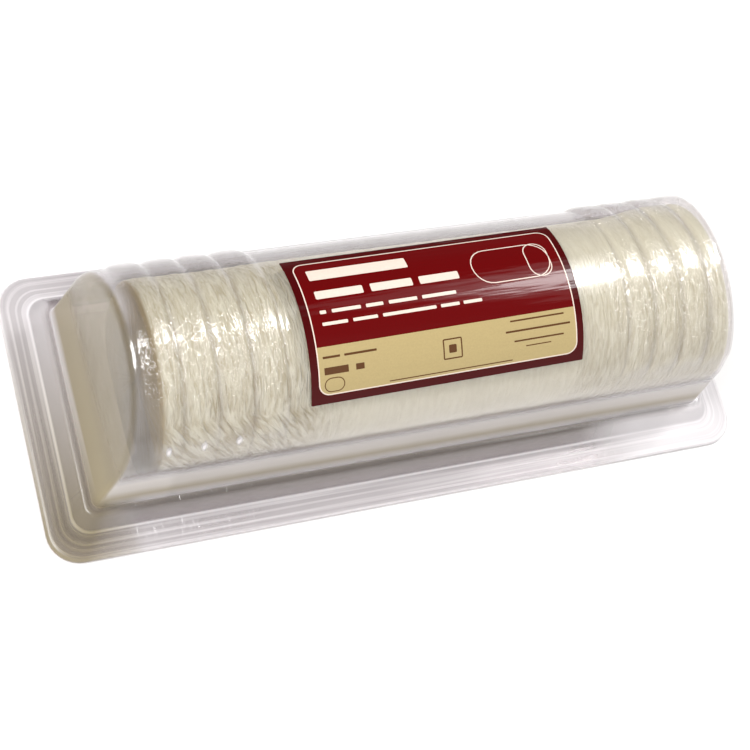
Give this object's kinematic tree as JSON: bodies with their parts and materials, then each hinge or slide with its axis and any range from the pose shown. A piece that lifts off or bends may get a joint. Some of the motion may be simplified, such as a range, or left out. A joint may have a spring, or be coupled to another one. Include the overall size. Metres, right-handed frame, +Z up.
{
  "type": "packed goat cheese log",
  "caption": "Fresh goat cheese log sealed in a clear ribbed dome pack with a stepped flange, a flat base film and a curved label.",
  "frame": {"origin": "centre of the pack's footprint, on the surface it rests on", "axes": "+X along the log towards the end where the cheese meets the end wall, -Y towards the viewer, +Z up"},
  "size_m": [0.289, 0.112, 0.0759],
  "materials": {
    "clear_plastic": "clear glossy thermoformed plastic",
    "clear_film": "clear flat sealing film",
    "cheese": "moist off-white fresh cheese",
    "label_paper": "glossy printed paper in dark red and cream"
  },
  "bodies": {
    "root": {"clear_dome": "clear_plastic", "base_film": "clear_film", "cheese_log": "cheese", "label": "label_paper"}
  },
  "joints": []
}
